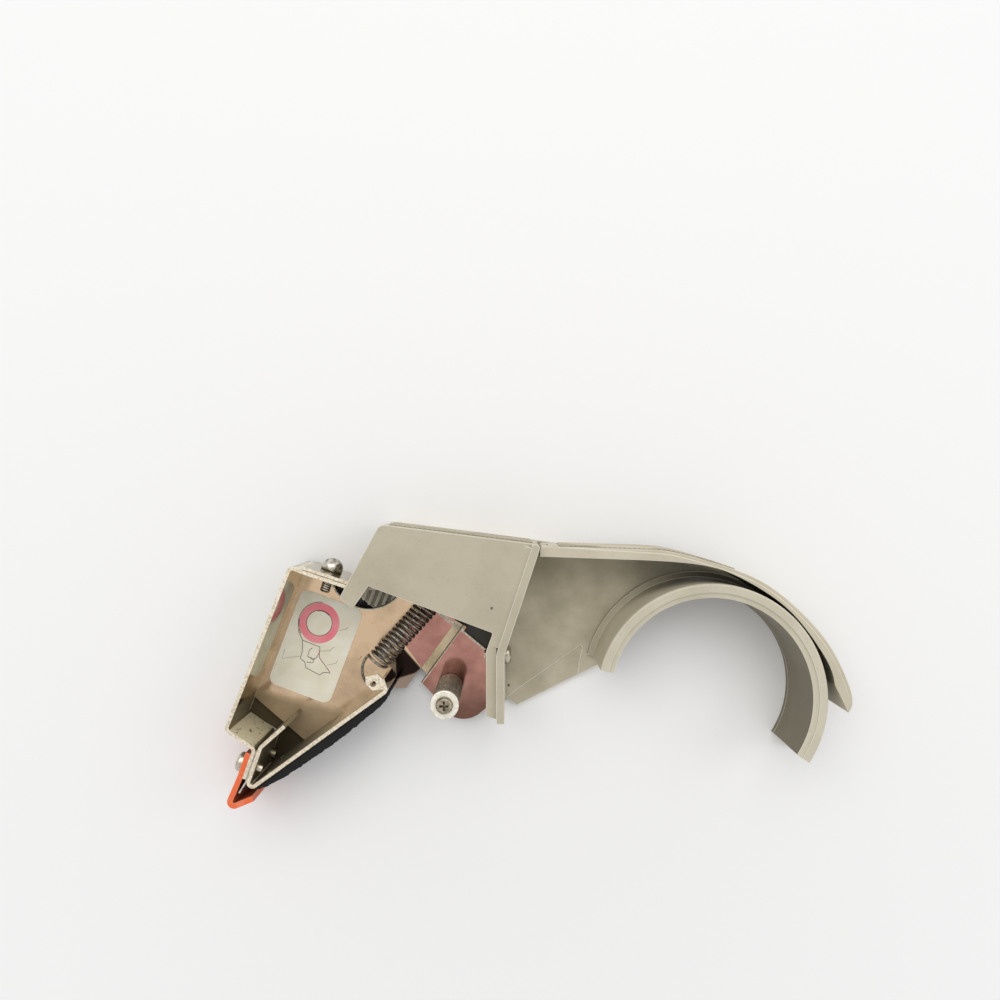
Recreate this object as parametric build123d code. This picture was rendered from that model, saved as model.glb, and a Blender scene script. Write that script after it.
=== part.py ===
from build123d import *
import math
import os

# One-hand tape dispenser for 25 mm tape on a 76 mm core, lying on its side.
# The origin is on the axis of the tape core hub, at the back face of the moulded frame.
# X runs from the cutting head to the hub, Y from the pad to the palm rest, Z out of the open side.
# All sizes are in millimetres.

# Moulded frame
wall = 2.5                   # side plate, top wall and cover
frame_depth = 29.5           # back face to the front of the cover
divider_wall = 2.6
divider_proud = 1.5          # the divider stands above the cover
bead_width = 2.2
bead_depth = 0.8
mouth_top = (-107.5, 56.7)
foot_left = (-120.5, 33.0)
foot_right = (-116.2, 29.6)
notch_corner = (-111.1, 36.8)
cover_low_right = (-70.8, 21.6)
divider_top = (-55.4, 50.1)
divider_bend = (-67.2, 14.7)
divider_foot_y = -7.3
side_low_corner = (-63.0, -8.1)
side_heel = (-66.6, -5.4)
side_toe = (-75.2, -5.4)
bead_corner = (-63.0, -2.5)
rim_step = 0.4               # the side plate is this much thinner between the bead and its lower edge
cove = 2.6                   # hollow slope from the cover up to the divider
rib_height = 1.2             # low ribs on the side plate in the mouth
rib_width = 0.9
rib_pitch = 2.5
rib_reach = 10.5             # from the head's pivot, clear of the back plate
divider_round = 1.2
side_mouth_low = (-118.0, 30.0)
plate_ring_radius = 41.5     # side plate around the hub

# Tape core hub, a C-shaped ring
hub_radius = 37.5            # slips into a 76.2 mm core
hub_wall = 4.6
hub_depth = 29.0
hub_start = -33.0            # degrees, end of the ring at the open side
hub_end = 165.0
hub_flange_radius = 39.4
hub_flange = 1.5
hub_cone = 0.6               # height of the cone from the flange to the ring
hub_step_radius = 34.7
hub_step = 0.6

# Palm rest, hinged at the divider
palm_wall = 3.4
palm_clear = 0.4
palm_front = 27.0
palm_pin_radius = 0.8
palm_rim = 1.2               # width of the lowered rim along the outer curve
palm_rim_step = 0.4
palm_sweep = [               # outer curve: angle on the hub's axis, height above the hub
    (110.5, 14.1), (90.9, 7.1), (67.5, 4.1), (43.1, 3.2), (26.2, 4.6), (6.6, 7.5), (-2.0, 8.7), (-6.0, 7.6),
]
palm_inside = [(6.2, 3.1), (25.0, 1.4), (50.0, 0.9), (74.0, 2.6), (114.0, 11.65)]

# Head: bent sheet
sheet = 1.2
head_back = 2.9              # underside of the head's back plate
head_front = 26.6
cutout_centre = (-115.0, 39.7)
cutout_radius = 13.6
shell_corner = (-137.1, 42.8)
shell_top_bend = (-133.8, 41.3)
shell_top_end = (-118.0, 36.0)
shell_low = (-158.0, -10.3)
nose_side = 6.5              # the back plate stops short of the nose, along the left wall
nose_wall = 18.4             # and along the shoe's lower wall

# Shoe: the sheet that carries blade and wipe-down pad
shoe_inner_end = (-138.9, -9.2)
shoe_bend = (-146.7, -16.1)
shoe_strip_length = 15.8     # from the bend to the sharp corner
shoe_strip_angle = 250.7     # degrees
shoe_wall_length = 57.0
shoe_wall_angle = 35.8
shoe_lip = 3.9
shoe_lip_angle = 109.0
shoe_corner_radius = 0.7
web_gap = 0.1                # the shoe's web lies under the head's back plate
web_under = 4.0
ear_eye = (3.6, 3.3)
ear_eye_radius = 1.0
ear_outline = [(0.6, -0.3), (1.7, 4.3), (4.5, 5.6), (6.6, 4.9), (6.2, 0.9), (3.8, -0.3)]

# Blade, guard, pad, label
blade_thick = 0.5
blade_flat = 12.4
blade_tip = 4.5
blade_tip_angle = 238.0
tooth_pitch = 1.58
tooth_depth = 1.2
guard_thick = 1.8
guard_start = 3.2            # along the shoe's strip, from its bend
guard_knee = 11.5
guard_flare = 4.0            # degrees, the leg leans out below the knee
guard_leg = 19.8
guard_return = 9.4
guard_return_angle = 22.0
pad_thick = 3.5
pad_start = 3.4
pad_profile = [(0, 0.3), (0.10, 0.68), (0.35, 0.95), (0.62, 1.0), (0.86, 0.8), (0.97, 0.55), (1, 0.3)]
pad_inset = 0.4
label_width = 23.0
label_length = 35.2
label_thick = 0.15
label_centre = (-133.6, 13.0)
label_turn = -20.5

# Screws
screw_radius = 1.5
screw_clear = 0.15
pan_radius = 3.2
pan_height = 2.2
recess_radius = 1.5
recess_width = 0.7
recess_depth = 1.2
guard_screw_along = 7.6
guard_screw_spacing = 16.5
top_screw_head = 3.6
top_screw_height = 5.4
top_screw_out = 5.1          # threaded end inside the head
top_screw_x = -126.5
nut_across = 5.5
nut_height = 2.4
divider_screw_y = 11.0
divider_screw_level = 8.5
mid_depth = (head_back + head_front) / 2

# Head hinge
leaf = 1.2
hinge_pin_radius = 1.0
running = 0.05
head_pivot = (-113.5, 37.5)
knuckle_half = 4.4           # half width of the middle knuckle
knuckle_gap = 0.15
hinge_low = 5.2
hinge_clear = 0.8            # from the hinge to the cover
cross_wall_x = -103.3
hinge_plate_top = 52.0
hinge_screw_y = 45.6

# Roller bracket with its keeper tongue
bracket = 1.4
joggle_low = (-96.6, 0.4)
joggle_high = (-82.8, 19.3)
joggle_run = 3.3
keeper_gap = 0.5
keeper_width = 12.0
keeper_length = 28.0
leg_height = 17.0

# Knurled roller on its stud
roller_centre = (-86.4, -0.9)
roller_radius = 4.45
roller_front = 31.0
stud_radius = 2.0
roller_washer_radius = 4.65
roller_washer = 1.0
roller_screw_head = 2.75
roller_head_height = 1.6
lobe_centre = (-81.6, -3.8)
lobe_radius = 8.8

# Return spring
wire = 0.9
spring_radius = 3.45         # to the middle of the wire
spring_pitch = 1.70
spring_turns = 18
spring_low = (-109.6, 10.9)
spring_post = (-82.5, 40.5)
post_radius = 1.6
post_head = 2.6
spring_level = 21.5


def along(point, angle, distance):
    """The point that lies that far off, at an angle in degrees."""
    turn = math.radians(angle)
    return (point[0] + distance * math.cos(turn), point[1] + distance * math.sin(turn))


def heading(start, end):
    """Angle from start to end, in degrees."""
    return math.degrees(math.atan2(end[1] - start[1], end[0] - start[0]))


def prism(points, low, high):
    """A closed outline raised from low to high."""
    outline = make_face(Polyline(*points, close=True))
    return Pos(0, 0, low) * extrude(outline, amount=high - low, dir=(0, 0, 1))


def disc(centre, radius, low, high):
    """A round bar along Z."""
    bar = Cylinder(radius, high - low, align=(Align.CENTER, Align.CENTER, Align.MIN))
    return Pos(centre[0], centre[1], low) * bar


def moved_line(points, distance):
    """The open line moved sideways, to its left where distance is positive."""
    moved = []
    last = len(points) - 1
    for index, point in enumerate(points):
        before = heading(points[max(index - 1, 0)], points[max(index, 1)])
        after = heading(points[min(index, last - 1)], points[min(index + 1, last)])
        half = (after - before + 180) % 360 - 180
        reach = distance / math.cos(math.radians(half / 2))
        moved.append(along(point, before + half / 2 + 90, reach))
    return moved


def bent_sheet(points, thick, low, high, inside=0.8, side=0):
    """A strip of sheet, bent along the points and raised from low to high.

    side 0 puts the line in the middle of the sheet, 1 the sheet to its left and -1 to its right."""
    left = moved_line(points, thick * (1 + side) / 2)
    right = moved_line(points, -thick * (1 - side) / 2)
    outline = make_face(Polyline(*left, *reversed(right), close=True)).face()
    for index in range(1, len(points) - 1):
        before = heading(points[index - 1], points[index])
        after = heading(points[index], points[index + 1])
        turns_left = (after - before + 180) % 360 - 180 > 0
        for corner, radius in (
            (left[index], inside if turns_left else inside + thick),
            (right[index], inside + thick if turns_left else inside),
        ):
            vertex = outline.vertices().sort_by_distance((*corner, 0))[0]
            outline = outline.fillet_2d(radius, [vertex])
    return Pos(0, 0, low) * extrude(outline, amount=high - low, dir=(0, 0, 1))


def sector(inner, outer, start, end, low, high):
    """Part of a ring around the hub axis, between two angles."""
    outline = make_face([
        CenterArc((0, 0), outer, start, end - start),
        Line(along((0, 0), end, outer), along((0, 0), end, inner)),
        CenterArc((0, 0), inner, start, end - start),
        Line(along((0, 0), start, inner), along((0, 0), start, outer)),
    ])
    return Pos(0, 0, low) * extrude(outline, amount=high - low, dir=(0, 0, 1))


def seat(point, level, angle):
    """A place for a screw: its local Z points out of the head, at that angle in the XY plane."""
    turn = math.radians(angle)
    return Plane(
        origin=(point[0], point[1], level),
        x_dir=(-math.sin(turn), math.cos(turn), 0),
        z_dir=(math.cos(turn), math.sin(turn), 0),
    )


def pan_screw(head, height, shank, length):
    """A cross-recessed pan head screw. Its seat is at Z 0, the head above and the shank below."""
    dome = Cylinder(head, height, align=(Align.CENTER, Align.CENTER, Align.MIN))
    dome = fillet(dome.edges().filter_by(GeomType.CIRCLE).sort_by(Axis.Z)[-1], height * 0.6)
    body = dome + Cylinder(shank, length, align=(Align.CENTER, Align.CENTER, Align.MAX))
    for turn in (0, 90):
        arm = Box(2 * recess_radius, recess_width, recess_depth, align=(Align.CENTER, Align.CENTER, Align.MAX))
        body -= Pos(0, 0, height) * Rot(0, 0, turn) * arm
    return body


def bore(place, radius, length):
    """A hole along the local Z of a place, to both sides of it."""
    return place * Cylinder(radius, 2 * length)


# Lines that several pieces share
strip_angle = shoe_strip_angle
strip_out = strip_angle - 90
shoe_corner = along(shoe_bend, strip_angle, shoe_strip_length)
shoe_end = along(shoe_corner, shoe_wall_angle, shoe_wall_length)
blade_line = sheet / 2 + blade_thick / 2
tail_line = sheet + blade_thick
guard_line = 1.5 * sheet + blade_thick + guard_thick / 2
top_angle = heading(shell_top_bend, shell_top_end)
cover_back = frame_depth - wall
divider_front = frame_depth + divider_proud
joggle_angle = heading(joggle_low, joggle_high)
keeper_low = head_back + sheet + keeper_gap
spring_angle = heading(spring_low, spring_post)
hub_inner = hub_radius - hub_wall
hinge_high = cover_back - hinge_clear
web_high = head_back - web_gap
web_low = web_high - sheet


def ear_point(point):
    """A point of the spring's ear: distance along the lip, then inward from it."""
    return along(along(shoe_end, shoe_lip_angle, point[0]), shoe_lip_angle + 90, point[1])


def off_hub(angle, gap):
    """A point that far above the hub's rim, at an angle on its axis."""
    return along((0, 0), angle, hub_radius + gap)


def stack_point(distance, offset):
    """A point beside the shoe's strip: distance down from its bend, offset outward."""
    return along(along(shoe_bend, strip_angle, distance), strip_out, offset)


guard_screw_levels = [mid_depth - guard_screw_spacing / 2, mid_depth + guard_screw_spacing / 2]
guard_seats = [
    seat(stack_point(guard_screw_along, guard_line + guard_thick / 2), level, strip_out)
    for level in guard_screw_levels
]
top_foot = along(shell_top_bend, top_angle, (top_screw_x - shell_top_bend[0]) / math.cos(math.radians(top_angle)))
top_seat = seat(along(top_foot, top_angle + 90, sheet / 2 + leaf), mid_depth, top_angle + 90)
divider_left = divider_bend[0] - divider_wall
divider_seat = seat((divider_bend[0], divider_screw_y), divider_screw_level, 0)
hinge_seat = seat((cross_wall_x - leaf, hinge_screw_y), mid_depth, 180)

# Hinge of the palm rest: its barrel is as thick as the palm rest
palm_radius = palm_wall / 2
divider_lean = heading(divider_bend, divider_top)
palm_pin_y = divider_top[1] - 0.6 - palm_radius
palm_pin = (
    divider_bend[0] + (palm_pin_y - divider_bend[1]) / math.tan(math.radians(divider_lean))
    + (palm_radius + palm_clear) / math.sin(math.radians(divider_lean)),
    palm_pin_y,
)
palm_back = wall + hub_flange + hub_cone + 0.3
palm_knuckle_low = palm_back + (palm_front - palm_back) / 3
palm_knuckle_high = palm_front - (palm_front - palm_back) / 3


def make_frame():
    """The one-piece moulding: side plate, top wall, cover, divider, cross wall and stiffening bead."""
    ring_top = math.degrees(math.acos(plate_ring_radius / math.hypot(*divider_top)))
    tangent = along((0, 0), heading((0, 0), divider_top) - ring_top, plate_ring_radius)
    hub_foot = along((0, 0), hub_end + 4, hub_inner + 1.5)
    side = prism(
        [mouth_top, divider_top, tangent, (0, 0), hub_foot, side_low_corner, side_heel, side_toe, side_mouth_low],
        0, wall,
    )
    side += sector(hub_inner, plate_ring_radius, hub_start, hub_end, 0, wall)
    side -= disc((0, 0), hub_inner, -1, wall + 1)

    cover = prism(
        [mouth_top, foot_left, foot_right, notch_corner, cover_low_right, divider_bend, divider_top],
        cover_back, frame_depth,
    )
    for corner, radius in ((mouth_top, 2.5), (foot_left, 1.2), (foot_right, 1.0), (divider_top, divider_round)):
        edge = cover.edges().filter_by(Axis.Z).sort_by_distance((*corner, frame_depth))[0]
        cover = fillet(edge, radius)

    slope = heading(mouth_top, divider_top)
    top = bent_sheet([mouth_top, along(divider_top, slope, -divider_round - 0.3)], wall, 0, frame_depth, side=-1)
    corner_cut = top.edges().filter_by(Axis.Z).sort_by_distance((*mouth_top, frame_depth / 2))[0]
    top = fillet(corner_cut, 1.5)

    divider_foot = (divider_bend[0], divider_foot_y)
    divider = bent_sheet([divider_top, divider_bend, divider_foot], divider_wall, 0, divider_front, 6, side=-1)
    divider -= prism(
        [along(divider_top, slope, -8), along(divider_top, slope, 8), along(divider_top, slope + 90, 8)],
        -1, divider_front + 1,
    )
    crest = divider.edges().filter_by(Axis.Z).sort_by_distance((*divider_top, divider_front / 2))[0]
    divider = fillet(crest, divider_round)
    strip_top = cover_low_right[1]
    return_strip = prism(
        [(divider_left, strip_top + 2), (divider_left - 1.4, strip_top + 2), (divider_left - 1.4, strip_top - 0.7),
         (divider_left - 3.3, strip_top - 5.9), (divider_left - 3.3, divider_foot_y + 2.1),
         (divider_left, divider_foot_y + 1.2)],
        cover_back, frame_depth,
    )

    inner_top = mouth_top[1] - (cross_wall_x - mouth_top[0]) * math.tan(math.radians(7.3))
    cross = Pos(cross_wall_x + wall / 2, 0, 0) * prism(
        [(-wall / 2, head_pivot[1] - 0.5), (wall / 2, head_pivot[1] - 0.5),
         (wall / 2, inner_top - 1.5), (-wall / 2, inner_top - 1.5)],
        wall, cover_back,
    )

    body = side + top + cover + divider + divider_cove() + return_strip + cross + mouth_ribs()
    body += palm_knuckle()
    body -= bead()
    body -= thin_rim()
    body -= bore(hinge_seat, screw_radius, 12)
    body -= bore(divider_seat, screw_radius + screw_clear, 8)
    body -= disc(spring_post, post_radius, -1, wall + 1)
    return body


def divider_cove():
    """The hollow slope between the cover and the left face of the divider."""
    lean = heading(divider_bend, divider_top)
    start = along(along(divider_bend, lean + 90, divider_wall), lean, 1.5)
    length = math.dist(divider_bend, divider_top) - 3.5
    place = Plane(
        origin=(*start, frame_depth - 0.2),
        x_dir=(*along((0, 0), lean + 90, 1), 0),
        z_dir=(*along((0, 0), lean, 1), 0),
    )
    top = 0.2 + divider_proud * 0.8
    section = make_face([
        Line((-0.3, 0), (cove, 0)),
        Line((cove, 0), (cove, 0.2)),
        ThreePointArc((cove, 0.2), (cove * 0.36, 0.2 + divider_proud * 0.28), (0, top)),
        Line((0, top), (-0.3, top)),
        Line((-0.3, top), (-0.3, 0)),
    ])
    return extrude(place * section, amount=length)


def mouth_ribs():
    """Low ribs on the side plate, seen through the cut-out of the head."""
    plate_edge = heading(side_mouth_low, mouth_top)
    fall = heading(side_mouth_low, side_toe)
    foot = along(side_mouth_low, fall, rib_pitch / 2)
    ribs = bent_sheet([foot, along(foot, plate_edge, 20)], rib_width, wall, wall + rib_height)
    for index in range(1, 5):
        foot = along(side_mouth_low, fall, (index + 0.5) * rib_pitch)
        ribs += bent_sheet([foot, along(foot, plate_edge, 20)], rib_width, wall, wall + rib_height)
    field = disc(head_pivot, rib_reach, wall, wall + rib_height)
    field -= Pos(head_pivot[0], head_pivot[1] + 10, wall) * Box(40, 20, 10)
    return ribs & field


def thin_rim():
    """The step on the front of the side plate that mirrors the bead at its back."""
    start = along((0, 0), hub_end - 3, plate_ring_radius + 1)
    out = heading(start, bead_corner) + 90
    return prism(
        [start, bead_corner, side_heel, along(side_heel, out, 8), along(start, out, 12)],
        wall - rim_step, wall + 1,
    ) - disc((0, 0), plate_ring_radius, 0, wall + 2)


def palm_knuckle():
    """The frame's middle knuckle for the palm rest, on a short arm from the divider."""
    arm_end = (palm_pin[0], palm_pin[1] - palm_radius)
    arm = prism(
        [arm_end, (palm_pin[0], palm_pin[1] + palm_radius * 0.5),
         (palm_pin[0] - palm_radius - 2, palm_pin[1] + palm_radius * 0.5),
         (palm_pin[0] - palm_radius - 2.8, palm_pin[1] - palm_radius)],
        palm_knuckle_low + knuckle_gap, palm_knuckle_high - knuckle_gap,
    )
    arm += disc(palm_pin, palm_radius, palm_knuckle_low + knuckle_gap, palm_knuckle_high - knuckle_gap)
    return arm - disc(palm_pin, palm_pin_radius, 0, frame_depth)


def bead():
    """The V-shaped stiffening groove in the back of the side plate."""
    start = along((0, 0), hub_end - 3, plate_ring_radius + 1)
    end = (side_mouth_low[0] + 11, side_mouth_low[1] + 2)
    groove = bent_sheet([start, bead_corner, end], bead_width, -1, bead_depth, 1.5)
    return groove


def make_hub():
    """The C-shaped ring that the tape core slips on, with a base flange and a stepped front."""
    section = make_face(Polyline(
        (hub_inner, wall), (hub_flange_radius, wall), (hub_flange_radius, wall + hub_flange),
        (hub_radius, wall + hub_flange + hub_cone), (hub_radius, hub_depth - 0.4), (hub_radius - 0.4, hub_depth),
        (hub_step_radius, hub_depth), (hub_step_radius - 0.1, hub_depth - hub_step),
        (hub_inner, hub_depth - hub_step - 0.2), close=True,
    ))
    ring = revolve(Plane.XZ * section, Axis.Z, hub_end - hub_start)
    return Rot(0, 0, hub_start) * ring


def palm_face(inset):
    """Outline of the palm rest, its outer curve moved in by the inset."""
    start = (palm_pin[0], palm_pin[1] + palm_radius)
    under = (palm_pin[0], palm_pin[1] - palm_radius)
    outer = [off_hub(angle, gap - inset) for angle, gap in palm_sweep]
    inner = [off_hub(angle, gap) for angle, gap in palm_inside]
    return make_face([
        Line(start, outer[0]),
        Spline(*outer, tangents=((1, -0.06), (-0.7, -0.7))),
        Line(outer[-1], inner[0]),
        Spline(*inner, tangents=((-0.12, 1), (-1, 0.05))),
        Line(inner[-1], under),
        Line(under, start),
    ])


def make_palm_rest():
    """The curved palm rest: a straight run from the hinge, then a sweep round the hub to a thicker tip."""
    rest = Pos(0, 0, palm_back) * extrude(palm_face(0), amount=palm_front - palm_back, dir=(0, 0, 1))
    rim_low = Pos(0, 0, palm_front - palm_rim_step)
    rim = rim_low * extrude(palm_face(0), amount=palm_rim_step, dir=(0, 0, 1))
    rim -= rim_low * extrude(palm_face(palm_rim), amount=palm_rim_step, dir=(0, 0, 1))
    rest -= rim
    rest += disc(palm_pin, palm_radius, palm_back, palm_front)
    low = palm_pin[1] - palm_radius
    left = palm_pin[0] - palm_radius
    heel = [palm_pin, (left, palm_pin[1]), (left, low), (palm_pin[0], low)]
    rest += prism(heel, palm_back, palm_knuckle_low) + prism(heel, palm_knuckle_high, palm_front)
    rest -= disc(palm_pin, palm_radius + palm_clear, palm_knuckle_low, palm_knuckle_high)
    return rest - disc(palm_pin, palm_pin_radius + running, palm_back - 1, palm_front - 1.5)


def make_palm_pin():
    """Hinge pin of the palm rest, held in the frame's knuckle."""
    return disc(palm_pin, palm_pin_radius, palm_back + 0.2, palm_front - 1.8)


def shell_tail():
    """The shell's front wall as a line: top wall, left wall, jog and the tail that holds the guard."""
    tail_top = stack_point(1.2, tail_line)
    tail_end = stack_point(11.4, tail_line)
    return [shell_top_end, shell_top_bend, shell_corner, shell_low, tail_top, tail_end]


def make_head_shell():
    """The head's sheet-metal channel: back plate, top wall, left wall and jogged tail."""
    walls = bent_sheet(shell_tail(), sheet, head_back, head_front, 0.9)
    edge_offset = joggle_run - 0.2
    edge_top = along(along(joggle_low, joggle_angle + 90, edge_offset), joggle_angle, 21)
    edge_low = along(along(joggle_low, joggle_angle + 90, edge_offset), joggle_angle, -4.8)
    tip_left = along(shell_low, heading(shell_low, shell_corner), nose_side)
    tip_right = along(along(shoe_corner, shoe_wall_angle, nose_wall), shoe_wall_angle - 90, sheet / 2)
    meet = along(along(shoe_corner, shoe_wall_angle, 53.4), shoe_wall_angle - 90, sheet / 2)
    plate = prism(
        [shell_top_end, shell_top_bend, shell_corner, tip_left, tip_right, meet,
         (meet[0] + 0.8, edge_low[1]), edge_low, edge_top, (-90.0, 31.6), (-101.0, 34.2), (-105.0, 36.0)],
        head_back, head_back + sheet,
    )
    plate -= disc(cutout_centre, cutout_radius, 0, head_back + sheet + 1)
    shell = plate + walls
    shell -= bore(top_seat, screw_radius + screw_clear, 8)
    for place in guard_seats:
        shell -= bore(place, screw_radius + screw_clear, 6)
    return shell


def make_shoe():
    """The second sheet: inner strip, sharp corner, lower wall, end lip with the spring's ear, and its web."""
    lip = along(shoe_end, shoe_lip_angle, shoe_lip)
    line = [shoe_inner_end, shoe_bend, shoe_corner, shoe_end, lip]
    body = bent_sheet(line, sheet, head_back + sheet, head_front, shoe_corner_radius)
    ear = prism([ear_point(point) for point in ear_outline], head_front - sheet, head_front)
    body += ear - disc(ear_point(ear_eye), ear_eye_radius, 0, head_front + 1)

    nose_start = along(shoe_bend, heading(shoe_bend, shoe_inner_end), 2.0)
    nose_end = along(shoe_corner, shoe_wall_angle, nose_wall - 0.8)
    nose = [nose_start, shoe_bend, shoe_corner, nose_end]
    body += bent_sheet(nose, sheet, web_low, head_back + sheet, shoe_corner_radius)
    wall_side = along(shell_low, heading(shell_low, shell_corner), nose_side + web_under)
    far_side = along(along(shoe_corner, shoe_wall_angle, nose_wall + web_under), shoe_wall_angle - 90, sheet / 2)
    body += prism(
        [wall_side, shell_low, stack_point(0.6, sheet / 2), stack_point(shoe_strip_length - 0.4, sheet / 2),
         along(shoe_corner, shoe_wall_angle - 90, sheet / 2), far_side],
        web_low, web_high,
    )
    for place in guard_seats:
        body -= bore(place, screw_radius, 9)
    return body


def make_blade():
    """Serrated blade, clamped between shoe and shell, with its cutting edge bent forward."""
    top = stack_point(1.4, blade_line)
    bend = stack_point(blade_flat, blade_line)
    tip = along(bend, blade_tip_angle, blade_tip)
    body = bent_sheet([top, bend, tip], blade_thick, head_back + 0.4, head_front - 0.3, 0.6)
    turn = blade_tip_angle
    count = int((head_front - head_back - 0.7) / tooth_pitch)
    first = mid_depth - (count - 1) * tooth_pitch / 2
    edge = Plane(
        origin=(tip[0], tip[1], 0),
        x_dir=(math.cos(math.radians(turn)), math.sin(math.radians(turn)), 0),
        z_dir=(-math.sin(math.radians(turn)), math.cos(math.radians(turn)), 0),
    )
    for index in range(count + 1):
        level = -(first + (index - 0.5) * tooth_pitch)
        notch = make_face(Polyline(
            (0.1, level - tooth_pitch / 2), (0.1, level + tooth_pitch / 2), (-tooth_depth, level), close=True,
        ))
        body -= edge * extrude(notch, amount=blade_thick * 2, both=True)
    for place in guard_seats:
        body -= bore(place, screw_radius + screw_clear, 6)
    return body


def make_guard():
    """V-shaped plastic guard round the blade; its long leg is screwed to the shell's tail."""
    top = stack_point(guard_start, guard_line)
    knee = stack_point(guard_knee, guard_line)
    tip = along(knee, strip_angle - guard_flare, guard_start + guard_leg - guard_knee)
    end = along(tip, guard_return_angle, guard_return)
    body = bent_sheet([top, knee, tip, end], guard_thick, head_back + 0.4, head_front - 0.4, 0.5)
    for place in guard_seats:
        body -= bore(place, screw_radius + screw_clear, 4)
    return body


def make_pad():
    """Wipe-down pad on the outside of the shoe's lower wall, thicker in the middle."""
    face = along(shoe_corner, shoe_wall_angle - 90, sheet / 2)
    run = shoe_wall_length - 0.5 - pad_start
    outer = [
        along(along(face, shoe_wall_angle, pad_start + share * run), shoe_wall_angle - 90, pad_thick * thick)
        for share, thick in pad_profile
    ]
    start = along(face, shoe_wall_angle, pad_start)
    end = along(face, shoe_wall_angle, pad_start + run)
    outline = make_face([Line(start, outer[0]), Spline(*outer), Line(outer[-1], end), Line(end, start)])
    low = head_back + sheet + pad_inset
    return Pos(0, 0, low) * extrude(outline, amount=head_front - pad_inset - low, dir=(0, 0, 1))


def make_label():
    """Threading label on the head's back plate."""
    card = extrude(RectangleRounded(label_width, label_length, 3.0), amount=label_thick)
    return Pos(label_centre[0], label_centre[1], head_back + sheet) * Rot(0, 0, label_turn) * card


def knuckle(low, high):
    """One rolled hinge knuckle."""
    return disc(head_pivot, hinge_pin_radius + leaf, low, high)


def make_head_leaf():
    """The hinge leaf on top of the head, under the top screw, with the middle knuckle."""
    low, high = mid_depth - knuckle_half, mid_depth + knuckle_half
    strap_start = along(shell_top_bend, top_angle, 0.5)
    strap_start = along(strap_start, top_angle + 90, sheet / 2)
    reach = head_pivot[0] - strap_start[0]
    strap_end = along(strap_start, top_angle, reach / math.cos(math.radians(top_angle)) - 0.6)
    strap = bent_sheet([strap_start, strap_end], leaf, hinge_low, hinge_high, side=1)
    for gap_low, gap_high in ((hinge_low - 1, low), (high, hinge_high + 1)):
        strap -= disc(head_pivot, hinge_pin_radius + leaf + 0.5, gap_low, gap_high)
    body = strap + knuckle(low, high)
    body -= disc(head_pivot, hinge_pin_radius + running, 0, frame_depth)
    return body - bore(top_seat, screw_radius + screw_clear, 8)


def make_hinge_plate():
    """The fixed hinge leaf: a plate across the frame's mouth with two knuckles."""
    low, high = mid_depth - knuckle_half - knuckle_gap, mid_depth + knuckle_half + knuckle_gap
    floor = head_pivot[1] - hinge_pin_radius - leaf
    line = [(head_pivot[0], floor), (cross_wall_x, floor), (cross_wall_x, hinge_plate_top)]
    body = bent_sheet(line, leaf, hinge_low, hinge_high, 0.8, side=1)
    body -= disc(head_pivot, hinge_pin_radius + leaf + 0.5, low, high)
    body += knuckle(hinge_low, low) + knuckle(high, hinge_high)
    body -= disc(head_pivot, hinge_pin_radius, 0, frame_depth)
    return body - bore(hinge_seat, screw_radius + screw_clear, 3)


def make_hinge_pin():
    """Hinge pin of the head."""
    return disc(head_pivot, hinge_pin_radius, hinge_low - 0.4, hinge_high + 0.4)


def make_roller_bracket():
    """Sheet bracket: plate with the roller's lobe, joggled keeper tongue and upturned leg."""
    base = wall
    leg_face = divider_left
    plate = prism(
        [joggle_low, (-92.4, -4.0), along(lobe_centre, 232, lobe_radius), along(lobe_centre, 300, lobe_radius),
         (leg_face, divider_foot_y + 1.5), (leg_face, divider_screw_y + 4), (-73.5, 11.7), joggle_high],
        base, base + bracket,
    )
    plate += disc(lobe_centre, lobe_radius, base, base + bracket)
    place = Plane(
        origin=(*along(joggle_low, joggle_angle, -3), 0),
        x_dir=(*along((0, 0), joggle_angle + 90, 1), 0),
        z_dir=(*along((0, 0), joggle_angle, 1), 0),
    )
    section = make_face(Polyline(
        (-1.5, base), (0, base), (joggle_run, keeper_low), (joggle_run + keeper_width, keeper_low),
        (joggle_run + keeper_width, keeper_low + bracket), (joggle_run - 0.5, keeper_low + bracket),
        (-0.5, base + bracket), (-1.5, base + bracket), close=True,
    ))
    keeper = place * extrude(section, amount=keeper_length)
    trim_low = along(joggle_low, joggle_angle, 3.6)
    trim = prism(
        [along(joggle_low, joggle_angle - 126, 12), trim_low, along(trim_low, joggle_angle + 72, 20),
         along(joggle_low, joggle_angle + 160, 30), along(joggle_low, joggle_angle - 160, 20)],
        0, keeper_low + 4,
    )
    keeper -= trim
    leg = prism(
        [(leg_face - bracket, divider_screw_y - 8), (leg_face, divider_screw_y - 8),
         (leg_face, divider_screw_y + 4), (leg_face - bracket, divider_screw_y + 4)],
        base, base + leg_height,
    )
    body = plate + keeper + leg
    body -= bore(divider_seat, screw_radius + screw_clear, 8)
    return body - disc(roller_centre, stud_radius * 0.7, 0, base + bracket + 1)


def make_stud():
    """The roller's stud, riveted into the bracket and drilled for its screw."""
    top = wall + bracket
    body = disc(roller_centre, stud_radius, top, roller_front + 0.2)
    body += disc(roller_centre, stud_radius * 0.7, wall, top)
    return body - disc(roller_centre, screw_radius * 0.8, roller_front - 8, roller_front + 1)


def make_roller():
    """The knurled roller, a sleeve that turns on the stud."""
    low = wall + bracket + 0.3
    body = disc(roller_centre, roller_radius, low, roller_front)
    rims = body.edges().filter_by(GeomType.CIRCLE)
    body = chamfer(rims, 0.4)
    return body - disc(roller_centre, stud_radius + running, low - 1, roller_front + 1)


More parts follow.
